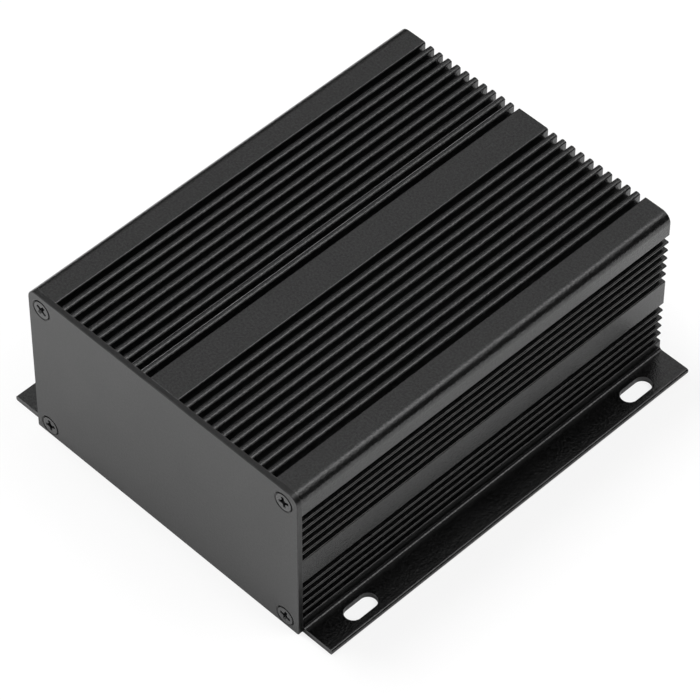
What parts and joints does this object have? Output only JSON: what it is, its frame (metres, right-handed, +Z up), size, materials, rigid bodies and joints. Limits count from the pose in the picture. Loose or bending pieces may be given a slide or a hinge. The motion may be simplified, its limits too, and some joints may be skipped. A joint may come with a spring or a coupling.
{
  "type": "extruded aluminium enclosure",
  "caption": "Rectangular extruded aluminium enclosure with a ribbed top and sides, slotted mounting flanges, a screwed front plate and an open rear end.",
  "frame": {"origin": "middle of the footprint, on the flat bottom face", "axes": "+X across the enclosure to the right seen from the front, +Y along the extrusion from the front plate to the open rear end, +Z up"},
  "size_m": [0.097, 0.11, 0.044],
  "materials": {
    "black_anodised_extrusion": "satin black anodised",
    "black_anodised_plate": "satin black anodised",
    "black_screw_steel": "black oxide"
  },
  "bodies": {
    "root": {"body": "black_anodised_extrusion", "front_plate": "black_anodised_plate", "plate_screws": "black_screw_steel"}
  },
  "joints": []
}
